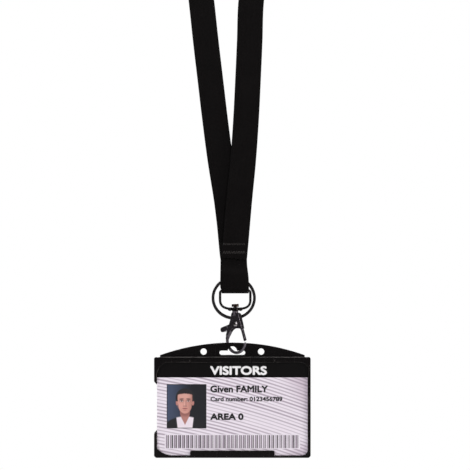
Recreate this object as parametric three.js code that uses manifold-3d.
// A lanyard badge holder: a folded neck strap, a swivel trigger hook with a split ring,
// and a rigid open-faced holder with its card. Millimetres, +Z up, +X to the wearer's left,
// the front faces -Y. The origin is at the nape, where the strap rests on the neck.

import * as THREE from 'three';
import { mergeVertices } from 'three/addons/utils/BufferGeometryUtils.js';
import Module from 'manifold-3d';

const wasm = await Module();
wasm.setup();

// ---- Driving dimensions ----

const FIT_GAP = 0.3;            // clearance between pieces that meet

// Strap
const STRAP_WIDTH = 14.6;
const STRAP_THICKNESS = 0.8;
const STRAP_STEPS = 80;
const LOOP_CENTRE_X = 0.5;      // the fold sits a little to one side of the hang line
const LOOP_OVERLAP = 11;        // how far the folded loop is sewn in between the strap's ends
const LOOP_ROOM = 0.8;          // beside the ring inside the fold, so that the ring can swing
const LOOP_SLACK = 0.1;         // of the fold below the eye's bar
const LOOP_TAPER = 5;           // length over which the fold closes above the ring
const LOOP_CREASE = 0.1;        // width of the hollow's upper end, where the two layers meet
const SEAM_RISE = 1.2;          // of the zigzag, above the seam's lower edge
const SEAM_MARGIN = 0.8;        // from the strap's side to the zigzag
const THREAD_DEPTH = 0.35;
const TOOTH_COUNT = 5;          // zigzag seam
const TOOTH_HEIGHT = 1.3;
const THREAD_WIDTH = 0.5;

// Swivel eye, a D with a straight bar on top
const EYE_CENTRE_X = 0.7;
const EYE_SIDE_GAP = 0.65;      // beside the strap, each side
const EYE_WIRE = 1.3;
const EYE_DEPTH = 1.5;
const EYE_CORNER = 2.2;
const EYE_INNER_CORNER = 0.4;
const EYE_WINDOW = 9.1;         // inside height, from the bar to the boss
const BOSS_HEIGHT = 2.1;
const BOSS_RADIUS = 2.9;
const BOSS_HALF_WIDTH = 4.2;
const BOSS_CORNER = 1;
const EYE_SIDE_BEND = 4.8;      // the sides start to turn in this far above the eye's floor
const EYE_SIDE_PULL = 1.6;      // how tight they turn
const EYE_FLOOR_HALF = 3;       // half width of the flat floor, outside
const WINDOW_FLOOR_HALF = 2.6;  // and inside

// Split ring
const RING_CENTRE_X = 0;
const RING_WIRE = 1.45;         // width of the flat wire
const RING_TURN = 0.65;         // thickness of one turn
const RING_TURN_GAP = 0.15;
const RING_ROOM = 1.6;          // between the eye's side and the ring
const RING_BAR_ROOM = 1.25;     // from the eye's side, at its bar, to the middle of the wire
const RING_TURNS = 1.97;
const RING_STEPS = 84;

// Trigger hook
const HOOK_TURN = 42 * Math.PI / 180;   // how far the hook is turned about its swivel
const HOOK_DEPTH = 3.8;
const HOOK_SHOULDER = 2.4;      // half width at the top
const HOOK_WAIST = 3.7;         // half width beside the lever's pivot
const HOOK_LENGTH = 22.2;       // shoulder to the middle of the wire at the bottom
const HOOK_WIRE_RADIUS = 0.85;
const HOOK_BEND_RADIUS = 6.9;   // of the wire's middle line
const HOOK_BEND_U = 0.87;       // centre of the bend, beside the swivel's axis
const HOOK_TIP_ANGLE = -14 * Math.PI / 180;
const COLLAR_HEIGHT = 1.4;
const COLLAR_RADIUS = 1.5;
const SHANK_RADIUS = 1.0;
const SHANK_DEPTH = 1.7;        // how far the swivel rivet goes into the hook
const RIVET_HEAD_RADIUS = 2.05;
const RIVET_HEAD_HEIGHT = 1.6;
const RIVET_HEAD_ROUND = 0.7;
const SLOT_ROOF = 0.6;          // metal left between the swivel rivet and the lever's slot
const SLOT_FLOOR = 4.3;         // the slot's lower end, below the lever's pivot
const LEG_DEPTH = 1.87;

// Lever
const LEVER_THICKNESS = 1.6;
const LEVER_U = 1.3;            // pivot, beside the swivel's axis
const LEVER_DROP = 5.9;         // pivot, below the hook's shoulder
const LEVER_HUB_RADIUS = 2.0;
const LEVER_PIN_RADIUS = 0.8;
const LEVER_PIN_HEAD = 1.5;
const PIN_HEAD_HEIGHT = 0.55;
const TAB_REACH = 12.2;         // from the pivot to the thumb tab's end
const TAB_HEIGHT = 2.8;
const TAB_DEPTH = 3.0;
const TAB_LENGTH = 5.2;
const TAB_SLOPE = 14 * Math.PI / 180;
const TAB_TIP_CORNER = 1.3;
const TAB_ROOT_CORNER = 0.5;
const ARM_TOP = 1.5;            // the arm's upper edge over the pivot
const ARM_FALL = 3.1;           // how far that edge has dropped where the tab starts
const ARM_END = 3;              // the arm stops this far short of the tab's end
const GATE_END_WIDTH = 1.5;
const GATE_TIP_GAP = 0.9;       // between the gate's end and the hook's tip
const SPRING_RADIUS = 0.62;
const SPRING_WIRE = 0.13;
const SPRING_TURNS = 4;
const SPRING_U = -1.7;

// Card and holder
const CARD_WIDTH = 85.6;
const CARD_HEIGHT = 54;
const CARD_THICKNESS = 0.76;
const CARD_CORNER = 3.18;
const SIDE_WALL = 1.35;
const TOP_WALL = 1.5;
const BOTTOM_WALL = 1.05;
const BACK_THICKNESS = 1.2;
const LIP_THICKNESS = 1.0;
const LIP_LENGTH = 48;
const TOP_LIP_COVER = 1.2;      // how far each lip reaches over the card
const BOTTOM_LIP_COVER = 2.8;
const CLIP_HEIGHT = 14;
const CLIP_CORNER = 6.5;
const LIP_CORNER = 0.8;
const LIP_ROOT = 0.5;           // how far lips and clips reach into the wall that carries them
const SHARP = 0.1;              // a corner that is left sharp
const NOTCH_DEPTH = 6;
const SHOULDER_CORNER = 1.0;
const FOOT_CORNER = 1.7;
const TAB_END_INSET = 3.3;      // the tab's ends, in from the holder's sides
const TAB_ARCH_RADIUS = 122;
const BAND_HEIGHT = 2.15;       // material above the hanging slot
const SLOT_LENGTH = 14.7;
const SLOT_ROOM = 0.7;          // the slot is this much higher than the hook's wire
const HUMP_ROOM = 1.75;         // between the hump and the wire that turns in it
const TAB_ROOT_DROP = 3.5;      // the slot's hump centre, above the holder's body
const HOLE_RADIUS = 1.8;
const HOLE_SPACING = 32.7;
const HOLE_DROP = 0.4;          // below the hump's centre
const SLOT_TOP_RISE = 0.15;     // the slot's upper edge, above the hump's centre
const HANG_ANGLE = 26.4 * Math.PI / 180;   // where the tab hangs, round from the bend's lowest point
const HANG_RISE = 0.2;          // the hump's centre, above the middle of the wire

// ---- The strap's route, from the back layer of the seam over the neck to the front layer ----
// Each point is its place and the way its outer face looks.

const STRAP_ROUTE = [
  [[6.0, -112.3, -359.7], [0, -1, 0]],
  [[4.8, -112.3, -350.0], [0, -1, 0]],
  [[1.9, -111.7, -325.8], [0, -1, 0]],
  [[-1.7, -110.7, -303.1], [0, -1, 0]],
  [[-4.7, -109.4, -280.4], [0, -1, 0]],
  [[-7.4, -107.6, -257.7], [0, -1, 0]],
  [[-10.1, -105.2, -234.9], [0, -1, 0]],
  [[-12.6, -102.2, -212.0], [0, -1, 0.1]],
  [[-16.6, -98.2, -180.0], [-0.05, -1, 0.1]],
  [[-22.2, -94.2, -147.0], [-0.1, -1, 0.15]],
  [[-29.8, -90.2, -112.0], [-0.15, -1, 0.2]],
  [[-38.6, -85.2, -79.0], [-0.25, -0.95, 0.3]],
  [[-46.8, -76.8, -50.5], [-0.4, -0.75, 0.5]],
  [[-51.2, -62.0, -28.5], [-0.55, -0.4, 0.7]],
  [[-50.4, -41.5, -14.5], [-0.65, 0.05, 0.75]],
  [[-41.2, -21.5, -6.5], [-0.5, 0.4, 0.75]],
  [[-23.4, -6.0, -1.6], [-0.25, 0.7, 0.66]],
  [[0, 0, 0], [0, 0.8, 0.6]],
  [[23.4, -6.0, -1.6], [0.25, 0.7, 0.66]],
  [[41.2, -21.5, -6.5], [0.5, 0.4, 0.75]],
  [[50.4, -41.5, -14.5], [0.65, 0.05, 0.75]],
  [[51.2, -62.0, -28.5], [0.55, -0.4, 0.7]],
  [[47.4, -77.2, -50.5], [0.4, -0.75, 0.5]],
  [[41.2, -86.2, -79.0], [0.25, -0.95, 0.3]],
  [[33.8, -91.6, -112.0], [0.15, -1, 0.2]],
  [[26.4, -96.2, -147.0], [0.1, -1, 0.15]],
  [[20.2, -100.6, -180.0], [0.05, -1, 0.1]],
  [[15.8, -104.8, -212.0], [0, -1, 0.1]],
  [[14.95, -107.6, -234.9], [0, -1, 0]],
  [[13.95, -110.0, -257.7], [0, -1, 0]],
  [[12.8, -112.0, -280.4], [0, -1, 0]],
  [[11.2, -113.6, -303.1], [0, -1, 0]],
  [[9.0, -114.9, -325.8], [0, -1, 0]],
  [[6.9, -115.7, -350.0], [0, -1, 0]],
  [[6.0, -115.7, -359.7], [0, -1, 0]],
];

// The hang line: everything below the seam is placed from here.
const HANG_X = 6;
const HANG_Y = -114;
const SEAM_Z = -360;
const EYE_BAR_Z = SEAM_Z - 16.85;

// ---- Worked out from the above ----

const EYE_HALF_WIDTH = STRAP_WIDTH / 2 + EYE_SIDE_GAP + EYE_WIRE;
const BOSS_TOP = -EYE_WIRE / 2 - EYE_WINDOW;        // below the bar's middle
const BOSS_BOTTOM = BOSS_TOP - BOSS_HEIGHT;
const HOOK_TOP = BOSS_BOTTOM - COLLAR_HEIGHT;
const RING_RADIUS = EYE_HALF_WIDTH + RING_ROOM + RING_WIRE / 2;
const RING_THICKNESS = 2 * RING_TURN + RING_TURN_GAP;
const HOOK_SWEEP = Math.hypot(HOOK_WAIST, HOOK_DEPTH / 2) - 0.5;
const RING_REACH = HOOK_SWEEP + FIT_GAP + RING_THICKNESS / 2;
const RING_TILT = Math.asin(RING_REACH / (2 * RING_RADIUS));
const RING_BAR_HALF = EYE_HALF_WIDTH + RING_BAR_ROOM;
const RING_TOP_Z = RING_RADIUS - Math.sqrt(RING_RADIUS ** 2 - RING_BAR_HALF ** 2);   // above the eye's bar
const RING_PITCH = RING_TURN + RING_TURN_GAP;
const LOOP_HALF = Math.max(EYE_DEPTH, RING_THICKNESS) / 2 + FIT_GAP + LOOP_ROOM;
const BEND_Z = -(HOOK_LENGTH - HOOK_BEND_RADIUS);    // centre of the hook's bend
const SLOT_HEIGHT = 2 * HOOK_WIRE_RADIUS + SLOT_ROOM;
const HUMP_RADIUS = HOOK_WIRE_RADIUS + HUMP_ROOM;
const HOLDER_WIDTH = CARD_WIDTH + 2 * (FIT_GAP + SIDE_WALL);
const HOLDER_HEIGHT = CARD_HEIGHT + 2 * FIT_GAP + TOP_WALL + BOTTOM_WALL;
const BODY_TOP = -TAB_ROOT_DROP;                     // measured from the slot's hump centre
const BODY_BOTTOM = BODY_TOP - HOLDER_HEIGHT;
const CARD_BOTTOM = BODY_BOTTOM + BOTTOM_WALL + FIT_GAP;
const CARD_FRONT = -BACK_THICKNESS / 2 - FIT_GAP - CARD_THICKNESS;
const HOLDER_FRONT = CARD_FRONT - FIT_GAP - LIP_THICKNESS;

// ---- Helpers ----

function toSolid(geometry) {
  const bare = geometry.index ? geometry.toNonIndexed() : geometry.clone();
  bare.deleteAttribute('normal');
  bare.deleteAttribute('uv');
  const merged = mergeVertices(bare, 1e-4);
  const mesh = new wasm.Mesh({
    numProp: 3,
    vertProperties: new Float32Array(merged.attributes.position.array),
    triVerts: new Uint32Array(merged.index.array),
  });
  return new wasm.Manifold(mesh);
}

function toGeometry(solid) {
  const mesh = solid.getMesh();
  const geometry = new THREE.BufferGeometry();
  geometry.setAttribute('position', new THREE.BufferAttribute(mesh.vertProperties, 3));
  geometry.setIndex(new THREE.BufferAttribute(mesh.triVerts, 1));
  geometry.computeVertexNormals();
  return geometry;
}

// Joins every solid of a list.
function joinAll(geometries) {
  return geometries.map(toSolid).reduce((whole, next) => whole.add(next));
}

// Cuts every geometry of a list from a solid.
function cutAll(solid, geometries) {
  return geometries.map(toSolid).reduce((rest, tool) => rest.subtract(tool), solid);
}

// A shape drawn in X and Z, from frontY backwards.
function slab(shape, frontY, depth, curveSegments = 16) {
  const geometry = new THREE.ExtrudeGeometry(shape, { depth, bevelEnabled: false, curveSegments });
  geometry.rotateX(Math.PI / 2);
  geometry.translate(0, frontY + depth, 0);
  return geometry;
}

function rectangle(x0, z0, x1, z1) {
  return polygon([[x0, z0], [x1, z0], [x1, z1], [x0, z1]]);
}

function polygon(points) {
  return new THREE.Shape(points.map(([x, z]) => new THREE.Vector2(x, z)));
}

// A rectangle whose four corners each have their own radius, from the lower left round.
function roundedRectangle(x0, z0, x1, z1, radii) {
  const [lowLeft, lowRight, highRight, highLeft] = radii;
  const quarter = Math.PI / 2;
  const shape = new THREE.Shape();
  shape.moveTo(x0 + lowLeft, z0);
  shape.lineTo(x1 - lowRight, z0);
  shape.absarc(x1 - lowRight, z0 + lowRight, lowRight, -quarter, 0, false);
  shape.lineTo(x1, z1 - highRight);
  shape.absarc(x1 - highRight, z1 - highRight, highRight, 0, quarter, false);
  shape.lineTo(x0 + highLeft, z1);
  shape.absarc(x0 + highLeft, z1 - highLeft, highLeft, quarter, 2 * quarter, false);
  shape.lineTo(x0, z0 + lowLeft);
  shape.absarc(x0 + lowLeft, z0 + lowLeft, lowLeft, 2 * quarter, 3 * quarter, false);
  return shape;
}

// A cylinder along Z between two heights.
function upright(radius, z0, z1, x = 0, y = 0, sides = 24) {
  const geometry = new THREE.CylinderGeometry(radius, radius, z1 - z0, sides);
  geometry.rotateX(Math.PI / 2);
  geometry.translate(x, y, (z0 + z1) / 2);
  return geometry;
}

// A cylinder along Y between two depths.
function crosswise(radius, y0, y1, x, z, sides = 24) {
  const geometry = new THREE.CylinderGeometry(radius, radius, y1 - y0, sides);
  geometry.translate(x, (y0 + y1) / 2, z);
  return geometry;
}

// A section swept along a curve, closed at both ends.
function sweep(section, curve, steps) {
  const options = { steps, bevelEnabled: false, extrudePath: curve, curveSegments: 2 };
  return new THREE.ExtrudeGeometry(section, options);
}

function roundSection(radius, sides) {
  const points = [];
  for (let i = 0; i < sides; i += 1) {
    const angle = 2 * Math.PI * i / sides;
    points.push([radius * Math.cos(angle), radius * Math.sin(angle)]);
  }
  return polygon(points);
}

// ---- Curves ----

// A flat band's curve: it carries the way that its outer face looks.
class BandCurve extends THREE.CatmullRomCurve3 {
  constructor(route) {
    super(route.map(([place]) => new THREE.Vector3(...place)), false, 'centripetal');
    this.facings = route.map(([, facing]) => new THREE.Vector3(...facing));
  }

  // Straight blend between the facings of the two nearest points.
  facingAt(t) {
    const place = t * (this.facings.length - 1);
    const index = Math.min(Math.floor(place), this.facings.length - 2);
    return this.facings[index].clone().lerp(this.facings[index + 1], place - index);
  }

  computeFrenetFrames(segments) {
    const tangents = [];
    const normals = [];
    const binormals = [];
    for (let i = 0; i <= segments; i += 1) {
      const t = this.getUtoTmapping(i / segments);
      const tangent = this.getTangent(t);
      const normal = this.facingAt(t);
      normal.addScaledVector(tangent, -normal.dot(tangent)).normalize();
      tangents.push(tangent);
      normals.push(normal);
      binormals.push(new THREE.Vector3().crossVectors(tangent, normal));
    }
    return { tangents, normals, binormals };
  }
}

// Part of a circle in the XZ plane.
class BendCurve extends THREE.Curve {
  constructor(centreX, centreZ, radius, startAngle, endAngle) {
    super();
    Object.assign(this, { centreX, centreZ, radius, startAngle, endAngle });
  }

  getPoint(t, target = new THREE.Vector3()) {
    const angle = this.startAngle + t * (this.endAngle - this.startAngle);
    const x = this.centreX + this.radius * Math.cos(angle);
    const z = this.centreZ + this.radius * Math.sin(angle);
    return target.set(x, 0, z);
  }
}

// A coil about an axis along Y (a split ring) or along Z (a spring).
class CoilCurve extends THREE.Curve {
  constructor(radius, turns, pitch, alongZ) {
    super();
    Object.assign(this, { radius, turns, pitch, alongZ });
  }

  getPoint(t, target = new THREE.Vector3()) {
    const angle = 2 * Math.PI * this.turns * t;
    const along = this.pitch * this.turns * (t - 0.5);
    const a = this.radius * Math.cos(angle);
    const b = this.radius * Math.sin(angle);
    return this.alongZ ? target.set(a, b, along) : target.set(a, along, b);
  }
}

// ---- Materials ----

function material(colour, roughness, metalness) {
  return () => new THREE.MeshStandardMaterial({ color: colour, roughness, metalness });
}

const webbing = material(0x19191a, 0.7, 0);
const gunmetal = material(0x3c3b40, 0.28, 1);
const springSteel = material(0x8d8d90, 0.3, 1);
const blackPlastic = material(0x121112, 0.42, 0);
const cardPlastic = material(0xe2dde4, 0.3, 0);

function place(group, name, shape, makeMaterial) {
  const geometry = shape instanceof THREE.BufferGeometry ? shape : toGeometry(shape);
  const mesh = new THREE.Mesh(geometry, makeMaterial());
  mesh.name = name;
  group.add(mesh);
  return mesh;
}

// ---- Strap ----

// The band's section: outer face on +X of the section, edges eased.
function bandSection() {
  const half = STRAP_THICKNESS / 2;
  const edge = STRAP_WIDTH / 2;
  const ease = half * 0.6;
  return polygon([
    [half, -edge + ease], [half, edge - ease], [half - ease, edge], [-half + ease, edge],
    [-half, edge - ease], [-half, -edge + ease], [-half + ease, -edge], [half - ease, -edge],
  ]);
}

function neckStrap() {
  return sweep(bandSection(), new BandCurve(STRAP_ROUTE), STRAP_STEPS);
}

// The folded loop, seen from the side: a long eye round the bar and the ring, closing upwards.
function strapLoop() {
  const round = LOOP_HALF;
  const bottom = -EYE_WIRE / 2 - FIT_GAP - LOOP_SLACK + round;
  const closing = RING_TOP_Z + RING_WIRE / 2 + FIT_GAP;
  const top = SEAM_Z - EYE_BAR_Z + LOOP_OVERLAP;
  const thick = STRAP_THICKNESS;
  const creaseTop = closing + LOOP_TAPER - thick;
  const outer = new THREE.Shape();
  outer.moveTo(-round - thick, bottom);
  outer.absarc(0, bottom, round + thick, Math.PI, 2 * Math.PI, false);
  outer.lineTo(round + thick, closing);
  outer.lineTo(thick, closing + LOOP_TAPER);
  outer.lineTo(thick, top);
  outer.lineTo(-thick, top);
  outer.lineTo(-thick, closing + LOOP_TAPER);
  outer.lineTo(-round - thick, closing);
  outer.closePath();
  const inner = new THREE.Path();
  inner.moveTo(-round, bottom);
  inner.absarc(0, bottom, round, Math.PI, 2 * Math.PI, false);
  inner.lineTo(round, closing);
  inner.lineTo(LOOP_CREASE / 2, creaseTop);
  inner.lineTo(-LOOP_CREASE / 2, creaseTop);
  inner.lineTo(-round, closing);
  inner.closePath();
  outer.holes.push(inner);
  const options = { depth: STRAP_WIDTH, bevelEnabled: false, curveSegments: 12 };
  const geometry = new THREE.ExtrudeGeometry(outer, options);
  // The outline is drawn in Y and Z and drawn out along X.
  const [x, y, z] = [new THREE.Vector3(1, 0, 0), new THREE.Vector3(0, 1, 0), new THREE.Vector3(0, 0, 1)];
  geometry.applyMatrix4(new THREE.Matrix4().makeBasis(y, z, x));
  geometry.translate(-STRAP_WIDTH / 2, 0, 0);
  return geometry;
}

// The zigzag thread across the front of the seam.
function seamStitching() {
  const width = STRAP_WIDTH - 2 * SEAM_MARGIN;
  const step = width / (2 * TOOTH_COUNT);
  const lower = [];
  const upper = [];
  for (let i = 0; i <= 2 * TOOTH_COUNT; i += 1) {
    const x = -width / 2 + i * step;
    const z = i % 2 ? TOOTH_HEIGHT : 0;
    lower.push([x, z]);
    upper.push([x, z + THREAD_WIDTH]);
  }
  return slab(polygon(lower.concat(upper.reverse())), 0, THREAD_DEPTH);
}

// ---- Swivel eye ----

// A D whose sides stand at the given half width.
function eyeOutline(target, halfWidth, top, corner, bottom, floorHalf) {
  const bend = bottom + EYE_SIDE_BEND;
  const pull = bottom + EYE_SIDE_PULL;
  const shoulder = halfWidth * 0.75;
  const side = Math.PI / 2;
  target.moveTo(-halfWidth, bend);
  target.bezierCurveTo(-halfWidth, pull, -shoulder, bottom, -floorHalf, bottom);
  target.lineTo(floorHalf, bottom);
  target.bezierCurveTo(shoulder, bottom, halfWidth, pull, halfWidth, bend);
  target.lineTo(halfWidth, top - corner);
  target.absarc(halfWidth - corner, top - corner, corner, 0, side, false);
  target.lineTo(-halfWidth + corner, top);
  target.absarc(-halfWidth + corner, top - corner, corner, side, 2 * side, false);
  target.closePath();
  return target;
}

function swivelEye() {
  const half = EYE_WIRE / 2;
  const shape = new THREE.Shape();
  eyeOutline(shape, EYE_HALF_WIDTH, half, EYE_CORNER, BOSS_TOP - EYE_WIRE, EYE_FLOOR_HALF);
  const window = new THREE.Path();
  const insideHalf = EYE_HALF_WIDTH - EYE_WIRE;
  eyeOutline(window, insideHalf, -half, EYE_INNER_CORNER, BOSS_TOP, WINDOW_FLOOR_HALF);
  shape.holes.push(window);
  const frame = slab(shape, -EYE_DEPTH / 2, EYE_DEPTH, 8);
  const corners = [BOSS_CORNER, BOSS_CORNER, BOSS_CORNER / 2, BOSS_CORNER / 2];
  const block = roundedRectangle(-BOSS_HALF_WIDTH, BOSS_BOTTOM, BOSS_HALF_WIDTH, BOSS_TOP, corners);
  const foot = slab(block, -EYE_DEPTH * 0.75, EYE_DEPTH * 1.5, 4);
  const boss = upright(BOSS_RADIUS, BOSS_BOTTOM, BOSS_TOP);
  const bore = upright(SHANK_RADIUS + FIT_GAP, BOSS_BOTTOM - 1, BOSS_TOP + 1);
  return cutAll(joinAll([frame, foot, boss]), [bore]);
}

// ---- Split ring ----

function splitRing() {
  const halfTurn = RING_TURN / 2;
  const halfWire = RING_WIRE / 2;
  const section = rectangle(-halfWire, -halfTurn, halfWire, halfTurn);
  const coil = new CoilCurve(RING_RADIUS, RING_TURNS, RING_PITCH, false);
  coil.computeFrenetFrames = (segments) => ringFrames(coil, segments);
  return sweep(section, coil, RING_STEPS);
}

// Keeps the flat wire square to the ring's axis all the way round.
function ringFrames(coil, segments) {
  const frames = { tangents: [], normals: [], binormals: [] };
  for (let i = 0; i <= segments; i += 1) {
    const tangent = coil.getTangentAt(i / segments);
    const point = coil.getPointAt(i / segments);
    const outward = new THREE.Vector3(point.x, 0, point.z).normalize();
    frames.tangents.push(tangent);
    frames.normals.push(outward);
    frames.binormals.push(new THREE.Vector3().crossVectors(tangent, outward));
  }
  return frames;
}

// ---- Trigger hook: drawn in U (its own width) and Z, with U along X before it is turned ----

// The cheeks' outline, from the shoulder down the right side, along the arch and up the left.
function cheekOutline() {
  const pivot = -LEVER_DROP;
  const foot = pivot - 6.6;
  const waist = -HOOK_WAIST + 0.7;
  const shape = new THREE.Shape();
  shape.moveTo(HOOK_SHOULDER, 0);
  shape.lineTo(HOOK_SHOULDER + 0.2, -1);
  shape.lineTo(HOOK_WAIST, pivot - 0.3);
  shape.lineTo(HOOK_WAIST + 0.6, pivot - 2.7);
  shape.lineTo(1.0, pivot - 2.4);
  shape.bezierCurveTo(-1.2, pivot - 2.9, -2.2, pivot - 4.4, -3.3, foot);
  shape.lineTo(-5.9, foot);
  shape.bezierCurveTo(-4.9, pivot - 4.6, -3.9, pivot - 2.4, waist, pivot + 0.5);
  shape.lineTo(-HOOK_SHOULDER, -1);
  shape.lineTo(-HOOK_SHOULDER, 0);
  shape.closePath();
  return shape;
}

// The leg that carries the cheeks' left side down into the bend.
function legOutline() {
  const outer = HOOK_BEND_U - HOOK_BEND_RADIUS - HOOK_WIRE_RADIUS;
  const inner = outer + 2 * HOOK_WIRE_RADIUS;
  const root = -LEVER_DROP - 6.2;
  const shape = new THREE.Shape();
  shape.moveTo(-5.7, root);
  shape.bezierCurveTo(-6.2, root - 1.2, outer, BEND_Z + 1.6, outer, BEND_Z);
  shape.lineTo(inner, BEND_Z);
  shape.bezierCurveTo(inner, BEND_Z + 1.4, -4.0, root - 1.8, -3.2, root);
  shape.closePath();
  return shape;
}

// The lever's slot, the swivel rivet's bore and the pin's bore.
function hookCuts() {
  const slotHalf = LEVER_THICKNESS / 2 + FIT_GAP;
  const slotTop = slotRoof();
  const slotBottom = -LEVER_DROP - SLOT_FLOOR;
  const slot = slab(rectangle(-15, slotBottom, 15, slotTop), -slotHalf, 2 * slotHalf);
  const shankBore = upright(SHANK_RADIUS + FIT_GAP, -SHANK_DEPTH - FIT_GAP, COLLAR_HEIGHT + 1);
  const pinRadius = LEVER_PIN_RADIUS + FIT_GAP;
  const pinBore = crosswise(pinRadius, -HOOK_DEPTH, HOOK_DEPTH, LEVER_U, -LEVER_DROP);
  return [slot, shankBore, pinBore];
}

function hookBody() {
  const cheeks = slab(cheekOutline(), -HOOK_DEPTH / 2, HOOK_DEPTH, 8);
  const leg = slab(legOutline(), -LEG_DEPTH / 2, LEG_DEPTH, 8);
  const bendEnd = 2 * Math.PI + HOOK_TIP_ANGLE;
  const bend = new BendCurve(HOOK_BEND_U, BEND_Z, HOOK_BEND_RADIUS, Math.PI - 0.02, bendEnd);
  const wire = sweep(roundSection(HOOK_WIRE_RADIUS, 12), bend, 22);
  const tipPoint = bend.getPoint(1);
  const tip = new THREE.SphereGeometry(HOOK_WIRE_RADIUS, 12, 8);
  tip.translate(tipPoint.x, tipPoint.y, tipPoint.z);
  const collar = upright(COLLAR_RADIUS, -1, COLLAR_HEIGHT - FIT_GAP);
  return cutAll(joinAll([cheeks, leg, wire, tip, collar]), hookCuts());
}

// The rivet that the hook turns on, set in the hook with its head above the eye's boss.
function swivelRivet() {
  const headBottom = COLLAR_HEIGHT + BOSS_HEIGHT + FIT_GAP;
  const headTop = headBottom + RIVET_HEAD_HEIGHT;
  const profile = new THREE.Path();
  profile.moveTo(0, -SHANK_DEPTH);
  profile.lineTo(SHANK_RADIUS, -SHANK_DEPTH);
  profile.lineTo(SHANK_RADIUS, headBottom);
  profile.lineTo(RIVET_HEAD_RADIUS, headBottom);
  profile.lineTo(RIVET_HEAD_RADIUS, headTop - RIVET_HEAD_ROUND);
  profile.quadraticCurveTo(RIVET_HEAD_RADIUS, headTop, RIVET_HEAD_RADIUS - RIVET_HEAD_ROUND, headTop);
  profile.lineTo(0, headTop);
  const geometry = new THREE.LatheGeometry(profile.getPoints(4), 24);
  geometry.rotateX(Math.PI / 2);
  return toSolid(geometry);
}

// ---- Lever: hub, thumb tab on the left, gate on the right ----

function leverBody() {
  const half = LEVER_THICKNESS / 2;
  const hub = crosswise(LEVER_HUB_RADIUS, -half, half, 0, 0);
  const arm = slab(armOutline(), -half, LEVER_THICKNESS);
  const gate = slab(gateOutline(), -half, LEVER_THICKNESS);
  const bore = crosswise(LEVER_PIN_RADIUS + FIT_GAP, -2, 2, 0, 0);
  return cutAll(joinAll([hub, arm, thumbTab(), gate]), [bore]);
}

function armOutline() {
  const end = -TAB_REACH + ARM_END;
  return polygon([[0, ARM_TOP], [end, ARM_TOP - ARM_FALL], [end - 0.6, -3.4], [0, -1.2]]);
}

function thumbTab() {
  const half = TAB_HEIGHT / 2;
  const corners = [TAB_TIP_CORNER, TAB_ROOT_CORNER, TAB_ROOT_CORNER, TAB_TIP_CORNER];
  const outline = roundedRectangle(-TAB_REACH, -half, -TAB_REACH + TAB_LENGTH, half, corners);
  const tab = slab(outline, -TAB_DEPTH / 2, TAB_DEPTH, 6);
  tab.rotateY(-TAB_SLOPE);
  return tab;
}

// The gate runs down to the hook's tip and stops just above it.
function gateOutline() {
  const tipU = HOOK_BEND_U + HOOK_BEND_RADIUS * Math.cos(HOOK_TIP_ANGLE) - LEVER_U;
  const tipZ = BEND_Z + HOOK_BEND_RADIUS * Math.sin(HOOK_TIP_ANGLE) + HOOK_WIRE_RADIUS + LEVER_DROP;
  const endZ = tipZ + GATE_TIP_GAP;
  return polygon([
    [1.9, 0.4], [3.4, -3.0], [tipU, endZ + 0.8], [tipU - 1, endZ], [tipU - GATE_END_WIDTH, endZ + 0.6],
    [2.2, -3.4], [-1.0, -1.6],
  ]);
}

function leverPin() {
  const inner = HOOK_DEPTH / 2 + FIT_GAP;
  const outer = inner + PIN_HEAD_HEIGHT;
  const shaft = crosswise(LEVER_PIN_RADIUS, -outer, outer, 0, 0, 16);
  const frontHead = crosswise(LEVER_PIN_HEAD, -outer, -inner, 0, 0, 20);
  const backHead = crosswise(LEVER_PIN_HEAD, inner, outer, 0, 0, 20);
  return joinAll([shaft, frontHead, backHead]);
}

// The small coil spring that pushes the tab down and so holds the gate shut.
function leverSpring() {
  const length = springTop() - springBottom();
  const pitch = (length - 2 * SPRING_WIRE) / SPRING_TURNS;
  const coil = new CoilCurve(SPRING_RADIUS, SPRING_TURNS, pitch, true);
  return sweep(roundSection(SPRING_WIRE, 6), coil, SPRING_TURNS * 10);
}

// The slot's roof, which the spring stands against with a gap.
function slotRoof() {
  return -SHANK_DEPTH - FIT_GAP - SLOT_ROOF;
}

function springTop() {
  return slotRoof() - FIT_GAP;
}

// The top of the lever's arm below the spring, and the gap over it.
function springBottom() {
  const across = SPRING_U + SPRING_RADIUS - LEVER_U;
  return -LEVER_DROP + ARM_TOP + across * ARM_FALL / (TAB_REACH - ARM_END) + FIT_GAP;
}

// ---- Holder: the slot's hump centre is its origin, the back panel's middle is at Y 0 ----

// The body's outline with the arched tab on top.
function backOutline() {
  const half = HOLDER_WIDTH / 2;
  const tabEnd = half - TAB_END_INSET;
  const tabTop = HUMP_RADIUS + BAND_HEIGHT;
  const sweepAngle = Math.asin(tabEnd / TAB_ARCH_RADIUS);
  const centreZ = tabTop - TAB_ARCH_RADIUS;
  const quarter = Math.PI / 2;
  const shoulderZ = BODY_TOP - SHOULDER_CORNER;
  const footZ = BODY_BOTTOM + FOOT_CORNER;
  const shape = new THREE.Shape();
  shape.moveTo(-half + FOOT_CORNER, BODY_BOTTOM);
  shape.lineTo(half - FOOT_CORNER, BODY_BOTTOM);
  shape.absarc(half - FOOT_CORNER, footZ, FOOT_CORNER, -quarter, 0, false);
  shape.lineTo(half, shoulderZ);
  shape.absarc(half - SHOULDER_CORNER, shoulderZ, SHOULDER_CORNER, 0, quarter, false);
  shape.lineTo(tabEnd, BODY_TOP);
  shape.absarc(0, centreZ, TAB_ARCH_RADIUS, quarter - sweepAngle, quarter + sweepAngle, false);
  shape.lineTo(-tabEnd, BODY_TOP);
  shape.lineTo(-half + SHOULDER_CORNER, BODY_TOP);
  shape.absarc(-half + SHOULDER_CORNER, shoulderZ, SHOULDER_CORNER, quarter, 2 * quarter, false);
  shape.lineTo(-half, footZ);
  shape.absarc(-half + FOOT_CORNER, footZ, FOOT_CORNER, 2 * quarter, 3 * quarter, false);
  return shape;
}

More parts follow.
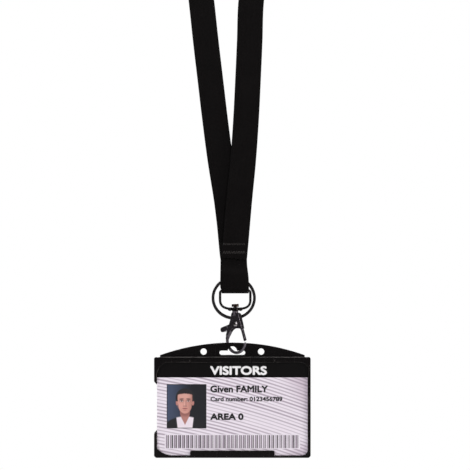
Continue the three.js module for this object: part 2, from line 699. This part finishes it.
// The hanging slot: a long slot with a round hump in the middle of its upper edge.
function hangingSlot() {
  const end = SLOT_HEIGHT / 2;
  const top = SLOT_TOP_RISE;
  const middle = top - end;
  const reach = SLOT_LENGTH / 2 - end;
  const rise = Math.asin(top / HUMP_RADIUS);
  const path = new THREE.Path();
  path.moveTo(-reach, top - SLOT_HEIGHT);
  path.lineTo(reach, top - SLOT_HEIGHT);
  path.absarc(reach, middle, end, -Math.PI / 2, Math.PI / 2, false);
  path.lineTo(HUMP_RADIUS * Math.cos(rise), top);
  path.absarc(0, 0, HUMP_RADIUS, rise, Math.PI - rise, false);
  path.lineTo(-reach, top);
  path.absarc(-reach, middle, end, Math.PI / 2, 1.5 * Math.PI, false);
  return path;
}

function roundHole(x) {
  const path = new THREE.Path();
  path.absarc(x, -HOLE_DROP, HOLE_RADIUS, 0, 2 * Math.PI, false);
  return path;
}

// The scoop in the left edge of the back, where a thumb reaches the card.
function thumbNotch() {
  const low = BODY_BOTTOM + CLIP_HEIGHT;
  const high = BODY_TOP - CLIP_HEIGHT;
  const chord = (high - low) / 2;
  const radius = (chord * chord + NOTCH_DEPTH * NOTCH_DEPTH) / (2 * NOTCH_DEPTH);
  const centreX = -HOLDER_WIDTH / 2 + NOTCH_DEPTH - radius;
  return crosswise(radius, -BACK_THICKNESS, BACK_THICKNESS, centreX, (low + high) / 2, 64);
}

// A corner clip on the left: a strip down the side and a curved web over the card's corner.
// It is drawn for the lower corner, and up is 1 there and -1 for the upper corner.
function cornerClip(edgeZ, wall, up) {
  const left = -HOLDER_WIDTH / 2;
  const inner = left + SIDE_WALL;
  const above = (distance) => edgeZ + up * distance;
  const shape = new THREE.Shape();
  shape.moveTo(left + 0.6, above(0.4));
  shape.lineTo(inner + CLIP_CORNER, above(0.4));
  shape.lineTo(inner + CLIP_CORNER, above(wall));
  shape.quadraticCurveTo(inner + 0.6, above(wall + 0.6), inner, above(wall + CLIP_CORNER));
  shape.lineTo(inner, above(CLIP_HEIGHT - 0.9));
  shape.quadraticCurveTo(inner, above(CLIP_HEIGHT), inner - 0.7, above(CLIP_HEIGHT));
  shape.quadraticCurveTo(left, above(CLIP_HEIGHT), left, above(CLIP_HEIGHT - 0.9));
  shape.lineTo(left, above(1.2));
  shape.closePath();
  return slab(shape, HOLDER_FRONT, LIP_THICKNESS, 6);
}

// The back panel with its hanging tab.
function backPanel() {
  const outline = backOutline();
  outline.holes.push(hangingSlot(), roundHole(-HOLE_SPACING / 2), roundHole(HOLE_SPACING / 2));
  return slab(outline, -BACK_THICKNESS / 2, BACK_THICKNESS, 12);
}

// The rim round the card, open on the left.
function pocketWalls() {
  const half = HOLDER_WIDTH / 2;
  const panelFront = -BACK_THICKNESS / 2;
  const corners = [FOOT_CORNER, FOOT_CORNER, SHOULDER_CORNER, SHOULDER_CORNER];
  const rimShape = roundedRectangle(-half, BODY_BOTTOM, half, BODY_TOP, corners);
  const rim = slab(rimShape, HOLDER_FRONT, -HOLDER_FRONT, 6);
  const round = CARD_CORNER + FIT_GAP;
  const right = CARD_WIDTH / 2 + FIT_GAP;
  const low = CARD_BOTTOM - FIT_GAP;
  const high = low + CARD_HEIGHT + 2 * FIT_GAP;
  const hollow = roundedRectangle(-half - 5, low, right, high, [SHARP, round, round, SHARP]);
  return cutAll(toSolid(rim), [slab(hollow, HOLDER_FRONT - 1, panelFront - HOLDER_FRONT + 1, 8)]);
}

// A lip between two heights that reaches over the card's edge; its free corners are rounded.
function lip(low, high, corners) {
  const outline = roundedRectangle(-LIP_LENGTH / 2, low, LIP_LENGTH / 2, high, corners);
  return slab(outline, HOLDER_FRONT, LIP_THICKNESS, 4);
}

function cardHolder() {
  const cardTop = CARD_BOTTOM + CARD_HEIGHT;
  const wallTop = cardTop + FIT_GAP + LIP_ROOT;
  const wallLow = CARD_BOTTOM - FIT_GAP - LIP_ROOT;
  const topLip = lip(cardTop - TOP_LIP_COVER, wallTop, [LIP_CORNER, LIP_CORNER, SHARP, SHARP]);
  const lowLip = lip(wallLow, CARD_BOTTOM + BOTTOM_LIP_COVER, [SHARP, SHARP, LIP_CORNER, LIP_CORNER]);
  const lowClip = cornerClip(BODY_BOTTOM, BOTTOM_WALL, 1);
  const topClip = cornerClip(BODY_TOP, TOP_WALL, -1);
  const front = joinAll([topLip, lowLip, lowClip, topClip]);
  const whole = toSolid(backPanel()).add(pocketWalls()).add(front);
  return cutAll(whole, [thumbNotch()]);
}

function idCard() {
  const half = CARD_WIDTH / 2;
  const corners = [CARD_CORNER, CARD_CORNER, CARD_CORNER, CARD_CORNER];
  const shape = roundedRectangle(-half, CARD_BOTTOM, half, CARD_BOTTOM + CARD_HEIGHT, corners);
  return slab(shape, CARD_FRONT, CARD_THICKNESS, 6);
}

// ---- Assembly ----

const badge = new THREE.Group();
place(badge, 'neck_strap', toSolid(neckStrap()), webbing);

const fold = new THREE.Group();
fold.position.set(HANG_X + LOOP_CENTRE_X, HANG_Y, EYE_BAR_Z);
badge.add(fold);
place(fold, 'strap_loop', toSolid(strapLoop()), webbing);

const seam = new THREE.Group();
const seamFront = STRAP_ROUTE[STRAP_ROUTE.length - 1][0][1] - STRAP_THICKNESS / 2;
seam.position.set(HANG_X, seamFront - FIT_GAP - THREAD_DEPTH, SEAM_Z + SEAM_RISE);
badge.add(seam);
place(seam, 'seam_stitching', toSolid(seamStitching()), webbing);

const eye = new THREE.Group();
eye.position.set(HANG_X + EYE_CENTRE_X, HANG_Y, EYE_BAR_Z);
badge.add(eye);
place(eye, 'swivel_eye', swivelEye(), gunmetal);

const ring = new THREE.Group();
ring.position.set(HANG_X + RING_CENTRE_X, HANG_Y, EYE_BAR_Z + RING_TOP_Z);
ring.rotation.x = RING_TILT;
badge.add(ring);
const ringMesh = place(ring, 'split_ring', toSolid(splitRing()), gunmetal);
// The two turns lie evenly on both sides of the fold's middle where they pass through it.
ringMesh.position.set(0, RING_PITCH * (RING_TURNS / 2 - 0.75), -RING_RADIUS);

const hook = new THREE.Group();
hook.position.set(0, 0, HOOK_TOP);
hook.rotation.z = -HOOK_TURN;
eye.add(hook);
place(hook, 'hook_body', hookBody(), gunmetal);
place(hook, 'swivel_rivet', swivelRivet(), gunmetal);

const lever = new THREE.Group();
lever.position.set(LEVER_U, 0, -LEVER_DROP);
hook.add(lever);
place(lever, 'trigger_lever', leverBody(), gunmetal);
place(lever, 'lever_rivet', leverPin(), gunmetal);

const spring = place(hook, 'lever_spring', toSolid(leverSpring()), springSteel);
spring.position.set(SPRING_U, 0, (springTop() + springBottom()) / 2);

// The tab hangs where the hook's bend crosses it.
const crossing = BEND_Z - HOOK_BEND_RADIUS * Math.cos(HANG_ANGLE);
const hangU = HOOK_BEND_U - HOOK_BEND_RADIUS * Math.sin(HANG_ANGLE);
const holder = new THREE.Group();
holder.position.set(
  eye.position.x + hangU * Math.cos(HOOK_TURN),
  eye.position.y - hangU * Math.sin(HOOK_TURN),
  eye.position.z + HOOK_TOP + crossing + HANG_RISE,
);
badge.add(holder);
place(holder, 'card_holder', cardHolder(), blackPlastic);
place(holder, 'id_card', toSolid(idCard()), cardPlastic);

export default badge;
